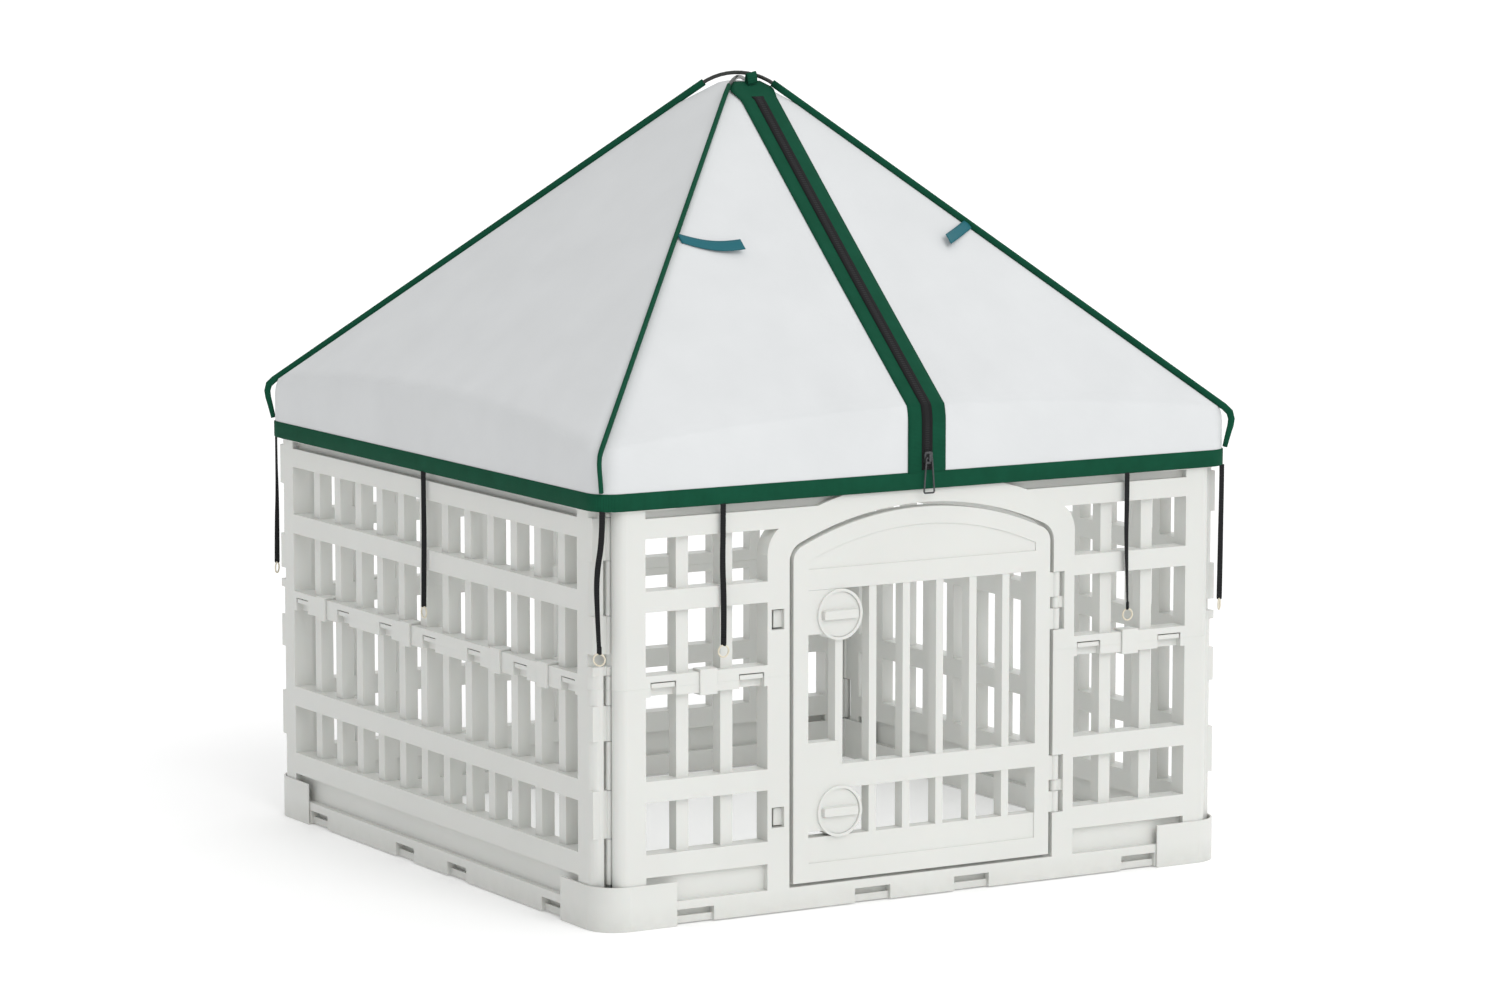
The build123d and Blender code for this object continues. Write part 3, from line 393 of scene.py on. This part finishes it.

# grosgrain binding tape: fine ribs across it, drawn at 1.6 mm
binding, shader = new_material("green_polyester_binding", {"Roughness": 0.8, "Specular IOR Level": 0.12})
spread = add_node(binding, "ShaderNodeUVMap", {"uv_map": "weave"}).outputs["UV"]
place = add_node(binding, "ShaderNodeTexCoord").outputs["Object"]
ribs = add_node(binding, "ShaderNodeTexWave", {"bands_direction": "X"},
                {"Vector": spread, "Scale": 2 * math.pi / 0.0016 / 20, "Distortion": 0.5, "Detail": 1.0})
uneven = add_node(binding, "ShaderNodeTexNoise", None, {"Vector": place, "Scale": 45.0, "Detail": 5.0})
shade = add_node(binding, "ShaderNodeMix", {"data_type": "RGBA"},
                 {0: uneven.outputs["Fac"], 6: linear("#0A4630"), 7: linear("#12553E")})
shade = add_node(binding, "ShaderNodeMix", {"data_type": "RGBA", "blend_type": "MULTIPLY"},
                 {0: 0.25, 6: shade.outputs[2], 7: ribs.outputs["Fac"]})
bump = add_node(binding, "ShaderNodeBump", None,
                {"Height": ribs.outputs["Fac"], "Strength": 0.35, "Distance": 0.0003})
binding.node_tree.links.new(shade.outputs[2], shader.inputs["Base Color"])
binding.node_tree.links.new(bump.outputs["Normal"], shader.inputs["Normal"])
hem_binding = make_piece(hem, "hem_binding", binding)
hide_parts("hem_band")

# ---------------------------------------------------------------- pole sleeves on the hips
# A folded strip of the same green tape is sewn along each hip as a sleeve for a pole. It is
# taller than it is wide, bulges at the corner and is drawn in again where it meets the skirt.
hip_foot = canopy_half * math.sqrt(2) * (1 - canopy_round / canopy_half * (1 - math.sqrt(0.5)))
hip_rise = 0.429 / hip_foot
sleeve_foot = [(0.6353, 0.5305), (0.6378, 0.541), (0.6401, 0.550),
               (0.6423, 0.558), (0.6433, 0.566), (0.6410, 0.5745)]


def sleeve_centre(reach, bow_radius):
    """Height of a pole over the crown: straight up the hip, then round a low bow."""
    top = eaves + hip_foot * hip_rise + 0.0051
    lean = math.atan(hip_rise)
    if reach > bow_radius * math.sin(lean):
        return top - reach * hip_rise
    return top - bow_radius / math.cos(lean) + math.sqrt(bow_radius ** 2 - reach ** 2)


sleeves = bmesh.new()
sleeve_map = sleeves.loops.layers.uv.new("weave")
for turn, bow_radius in ((45, 0.113), (135, 0.086), (225, 0.113), (315, 0.086)):
    sleeve_line = [(*spot, 0.0028, 0.0032 + 0.0003 * index) for index, spot in enumerate(sleeve_foot)]
    for reach in [0.634 - 0.0228 * step for step in range(26)] + [0.0455]:
        sleeve_line.append((reach, sleeve_centre(reach, bow_radius), 0.0027, 0.0046))
    start = bmesh.ops.create_circle(sleeves, cap_ends=False, segments=14, radius=1)["verts"]
    circle = [(vert.co.x, vert.co.y) for vert in start]
    rows = [start]
    for station in sleeve_line[1:]:
        edges = list({edge for vert in rows[-1] for edge in vert.link_edges
                      if edge.other_vert(vert) in rows[-1]})
        grown = bmesh.ops.extrude_edge_only(sleeves, edges=edges)["geom"]
        fresh = [part for part in grown if isinstance(part, bmesh.types.BMVert)]
        rows.append([min(fresh, key=lambda v: (v.co - old.co).length) for old in rows[-1]])
        bmesh.ops.translate(sleeves, verts=rows[-1], vec=(0, 0, 10))
    for index, (row, (reach, height, wide, tall)) in enumerate(zip(rows, sleeve_line)):
        before = sleeve_line[max(0, index - 1)]
        after = sleeve_line[min(len(sleeve_line) - 1, index + 1)]
        run = Vector((after[0] - before[0], 0, after[1] - before[1])).normalized()
        normal = Vector((run.z, 0, -run.x))
        for vert, (across, up) in zip(row, circle):
            spot = Vector((reach, 0, height)) + normal * up * tall + Vector((0, across * wide, 0))
            vert.co = Matrix.Rotation(math.radians(turn), 3, "Z") @ spot
for face in sleeves.faces:
    for loop in face.loops:
        loop[sleeve_map].uv = (math.hypot(loop.vert.co.x, loop.vert.co.y) * 1.2 + loop.vert.co.z * 0.2, 0.5)
bmesh.ops.holes_fill(sleeves, edges=sleeves.edges[:], sides=20)
bmesh.ops.recalc_face_normals(sleeves, faces=sleeves.faces[:])
hip_binding = make_piece(sleeves, "hip_binding", binding)
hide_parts("hip_sleeves")

# ---------------------------------------------------------------- poles
# Two glass-fibre rods, shock-corded in the real one, cross over the crown in low bows.
rod, shader = new_material("black_glass_fibre_rod",
                           {"Roughness": 0.28, "Coat Weight": 0.3, "Coat Roughness": 0.2})
place = add_node(rod, "ShaderNodeTexCoord").outputs["Object"]
strands = add_node(rod, "ShaderNodeTexNoise", None, {"Vector": place, "Scale": 300.0, "Detail": 2.0})
shade = add_node(rod, "ShaderNodeMix", {"data_type": "RGBA"},
                 {0: strands.outputs["Fac"], 6: linear("#10130F"), 7: linear("#2A302B")})
rod.node_tree.links.new(shade.outputs[2], shader.inputs["Base Color"])
for name in ["pole_left_front", "pole_right_front"]:
    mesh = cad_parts[name].data
    mesh.materials.clear()
    mesh.materials.append(rod)


# ---------------------------------------------------------------- zip tape and coil
# The front opens with a black nylon coil zip on a 54 mm green tape, sewn up the middle of
# the front slope. At the top the tape spreads into a small patch over the crown.
def on_front(x, row, lift):
    half, height = profile(min(1, abs(x) / 0.455), row)
    if row <= skirt_rows:
        return Vector((x, -half - lift, height))
    t = min(1, (row - skirt_rows) / fold_rows)
    out, up = 1 - t * (1 - slope_out), t * slope_up
    return Vector((x, -half - out * lift, height + up * lift))


def front_strip(name, rows, across, width, lift, material):
    strip = bmesh.new()
    bmesh.ops.create_grid(strip, x_segments=across, y_segments=rows[2], size=0.5)
    spread = strip.loops.layers.uv.new("weave")
    for face in strip.faces:
        for loop in face.loops:
            loop[spread].uv = ((loop.vert.co.y + 0.5) * 0.62, loop.vert.co.x * width)
    for vert in strip.verts:
        row = rows[0] + (vert.co.y + 0.5) * (rows[1] - rows[0])
        half = profile(0, row)[0]
        room = width / 2 + 0.005 * min(1, max(0, (0.052 - half) / 0.016))
        vert.co = on_front(2 * vert.co.x * min(room, half), row, lift)
    face_outwards(strip)
    piece = make_piece(strip, name, material)
    body = piece.modifiers.new("thickness", "SOLIDIFY")
    body.thickness, body.offset = 0.0006, 1
    return piece


tape = front_strip("zip_tape_cloth", (1.35, total_rows, 110), 8, 0.054, 0.0006, binding)
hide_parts("zip_tape")

# nylon coil: black, teeth every 1.3 mm drawn at 3 mm so that they show, with a groove between
coil_nylon, shader = new_material("black_nylon_coil", {"Roughness": 0.65, "Specular IOR Level": 0.15})
spread = add_node(coil_nylon, "ShaderNodeUVMap", {"uv_map": "weave"}).outputs["UV"]
teeth = add_node(coil_nylon, "ShaderNodeTexWave", {"bands_direction": "X"},
                 {"Vector": spread, "Scale": 2 * math.pi / 0.003 / 20, "Distortion": 0.0, "Detail": 0.0})
across = add_node(coil_nylon, "ShaderNodeSeparateXYZ", None, {"Vector": spread}).outputs["Y"]
middle = add_node(coil_nylon, "ShaderNodeMath", {"operation": "ABSOLUTE"}, {0: across})
inner = add_node(coil_nylon, "ShaderNodeMapRange", None, {"Value": middle.outputs[0], "From Min": 0.0022,
                                                          "From Max": 0.0032, "To Min": 1.0, "To Max": 0.0})
toothed = add_node(coil_nylon, "ShaderNodeMath", {"operation": "MULTIPLY"},
                   {0: teeth.outputs["Fac"], 1: inner.outputs[0]})
shade = add_node(coil_nylon, "ShaderNodeMix", {"data_type": "RGBA"},
                 {0: toothed.outputs[0], 6: linear("#171718"), 7: linear("#2B2C2D")})
bump = add_node(coil_nylon, "ShaderNodeBump", None,
                {"Height": toothed.outputs[0], "Strength": 0.6, "Distance": 0.0006})
coil_nylon.node_tree.links.new(shade.outputs[2], shader.inputs["Base Color"])
coil_nylon.node_tree.links.new(bump.outputs["Normal"], shader.inputs["Normal"])
coil_end = skirt_rows + fold_rows + slope_rows * (0.4515 - 0.048) / (0.4515 - 0.020)
coil = front_strip("zip_coil_cloth", (1.7, coil_end, 110), 4, 0.015, 0.0013, coil_nylon)
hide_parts("zip_coil")

# ---------------------------------------------------------------- zip slider and puller
# Die-cast zinc slider, painted dark, with a bent-wire puller that hangs on its bridge.
painted, shader = new_material("dark_painted_zinc", {"Metallic": 0.7, "Roughness": 0.35})
place = add_node(painted, "ShaderNodeTexCoord").outputs["Object"]
worn = add_node(painted, "ShaderNodeTexNoise", None, {"Vector": place, "Scale": 350.0, "Detail": 4.0})
shade = add_node(painted, "ShaderNodeMix", {"data_type": "RGBA"},
                 {0: worn.outputs["Fac"], 6: linear("#2A2B2C"), 7: linear("#6B6D6F")})
painted.node_tree.links.new(shade.outputs[2], shader.inputs["Base Color"])
for name in ["zip_slider", "zip_puller"]:
    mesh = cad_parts[name].data
    mesh.materials.clear()
    mesh.materials.append(painted)

# ---------------------------------------------------------------- teal ribbons
# Two short satin ribbons, 15 mm wide, are caught in the front hips and sewn down on the slope.
satin, shader = new_material("teal_satin_ribbon", {"Roughness": 0.5, "Specular IOR Level": 0.25})
spread = add_node(satin, "ShaderNodeUVMap", {"uv_map": "weave"}).outputs["UV"]
lines = add_node(satin, "ShaderNodeTexWave", {"bands_direction": "Y"},
                 {"Vector": spread, "Scale": 2 * math.pi / 0.0015 / 20, "Distortion": 0.4, "Detail": 1.0})
shade = add_node(satin, "ShaderNodeMix", {"data_type": "RGBA"},
                 {0: lines.outputs["Fac"], 6: linear("#145B66"), 7: linear("#1B6A75")})
bump = add_node(satin, "ShaderNodeBump", None,
                {"Height": lines.outputs["Fac"], "Strength": 0.25, "Distance": 0.0002})
satin.node_tree.links.new(shade.outputs[2], shader.inputs["Base Color"])
satin.node_tree.links.new(bump.outputs["Normal"], shader.inputs["Normal"])
slope_normal = Vector((0, -slope_out, slope_up))
ribbon_strips = bmesh.new()
ribbon_map = ribbon_strips.loops.layers.uv.new("weave")


def cover_height(x, y):
    """Height of the front slope's cloth over a point in plan."""
    half = -y
    t = (canopy_half - 0.0035 - half) / (canopy_half - 0.0035 - crown_half)
    return profile(abs(x) / half, skirt_rows + fold_rows + t * slope_rows)[1]


for (ax, ay), (bx, by), dip, lift in [((-0.2105, -0.2155), (-0.137, -0.240), 0.005, 0.008),
                                      ((0.2135, -0.2145), (0.1600, -0.2450), 0.000, 0.008)]:
    fresh = bmesh.ops.create_grid(ribbon_strips, x_segments=20, y_segments=4, size=0.5)["verts"]
    length = math.hypot(bx - ax, by - ay)
    for face in {face for vert in fresh for face in vert.link_faces}:
        for loop in face.loops:
            loop[ribbon_map].uv = ((loop.vert.co.x + 0.5) * length, loop.vert.co.y * 0.018)
    for vert in fresh:
        along = vert.co.x + 0.5
        x = ax + (bx - ax) * along
        y = ay + (by - ay) * along + vert.co.y * 0.018 * slope_up - dip * math.sin(math.pi * along)
        curl = 0.0016 + lift * along ** 2
        vert.co = Vector((x, y, cover_height(x, y))) + slope_normal * curl
face_outwards(ribbon_strips)
ribbons = make_piece(ribbon_strips, "teal_ribbons", satin)
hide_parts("ribbons")
body = ribbons.modifiers.new("thickness", "SOLIDIFY")
body.thickness, body.offset = 0.0006, 1

# ---------------------------------------------------------------- loop at the crown
# The ends of the hip tapes are folded into one short loop that stands up where the poles cross.
crown_loop = bmesh.new()
fresh = bmesh.ops.create_grid(crown_loop, x_segments=8, y_segments=3, size=0.5)["verts"]
loop_map = crown_loop.loops.layers.uv.new("weave")
for face in crown_loop.faces:
    for corner in face.loops:
        corner[loop_map].uv = (corner.vert.co.x * 0.02, corner.vert.co.y * 0.014)
for vert in fresh:
    bend, across = math.pi * (vert.co.x + 0.5), vert.co.y
    vert.co = (0.004 + across * 0.014, -0.026 - 0.004 * math.cos(bend),
               0.980 + 0.0150 * math.sin(bend) + 0.003 * across)
bmesh.ops.recalc_face_normals(crown_loop, faces=crown_loop.faces[:])
crown_tab = make_piece(crown_loop, "crown_loop", binding)
body = crown_tab.modifiers.new("thickness", "SOLIDIFY")
body.thickness, body.offset = 0.0008, 0

# ---------------------------------------------------------------- floor and light
# A plain pale studio floor, an even white surround, and soft light from the front right.
floor_mesh = bmesh.new()
bmesh.ops.create_grid(floor_mesh, x_segments=1, y_segments=1, size=30)
mesh = bpy.data.meshes.new("floor")
floor_mesh.to_mesh(mesh)
floor_mesh.free()
floor = bpy.data.objects.new("floor", mesh)
bpy.context.scene.collection.objects.link(floor)
paper, shader = new_material("pale_studio_floor", {"Roughness": 0.95, "Base Color": linear("#F8F8F8"),
                                                   "Emission Color": (1, 1, 1, 1),
                                                   "Emission Strength": 0.16})
mesh.materials.append(paper)

key = bpy.data.lights.new("key", "SUN")
key.energy, key.angle = 1.0, 0.7
key_lamp = bpy.data.objects.new("key", key)
key_lamp.rotation_euler = Vector((-0.02, 0.80, -0.62)).to_track_quat("-Z", "Y").to_euler()
bpy.context.scene.collection.objects.link(key_lamp)
# the white cloth lets light through, which a soft lamp under the canopy stands for
glow = bpy.data.lights.new("glow", "AREA")
glow.size, glow.energy = 0.8, 1.3
glow_lamp = bpy.data.objects.new("glow", glow)
glow_lamp.location = (0, 0, 0.56)
glow_lamp.visible_camera = False
bpy.context.scene.collection.objects.link(glow_lamp)
world = bpy.data.worlds.new("studio")
world.use_nodes = True
surround = world.node_tree.nodes["Background"]
# the surround is brighter above and to the right, and white behind the object
heading = world.node_tree.nodes.new("ShaderNodeTexCoord").outputs["Generated"]
facing_back = world.node_tree.nodes.new("ShaderNodeVectorMath")
facing_back.operation = "DOT_PRODUCT"
facing_back.inputs[1].default_value = (0.507, 0.862, 0)
world.node_tree.links.new(heading, facing_back.inputs[0])
to_the_right = world.node_tree.nodes.new("ShaderNodeVectorMath")
to_the_right.operation = "DOT_PRODUCT"
to_the_right.inputs[1].default_value = (0.62, 0.0, 0.78)
world.node_tree.links.new(heading, to_the_right.inputs[0])
softer = world.node_tree.nodes.new("ShaderNodeMapRange")
brighten = world.node_tree.nodes.new("ShaderNodeMapRange")
brighten.interpolation_type = "SMOOTHSTEP"
for ramp, limits in ((softer, (-1.0, 1.0, 0.26, 1.0)), (brighten, (0.6, 0.93, 0.0, 1.0))):
    for socket, value in zip(("From Min", "From Max", "To Min", "To Max"), limits):
        ramp.inputs[socket].default_value = value
world.node_tree.links.new(to_the_right.outputs["Value"], softer.inputs["Value"])
world.node_tree.links.new(facing_back.outputs["Value"], brighten.inputs["Value"])
either = world.node_tree.nodes.new("ShaderNodeMath")
either.operation = "MAXIMUM"
world.node_tree.links.new(softer.outputs[0], either.inputs[0])
world.node_tree.links.new(brighten.outputs[0], either.inputs[1])
world.node_tree.links.new(either.outputs[0], surround.inputs["Strength"])
surround.inputs["Color"].default_value = (1, 1, 1, 1)
bpy.context.scene.world = world
bpy.context.scene.view_settings.view_transform = "Standard"

bpy.context.view_layer.update()
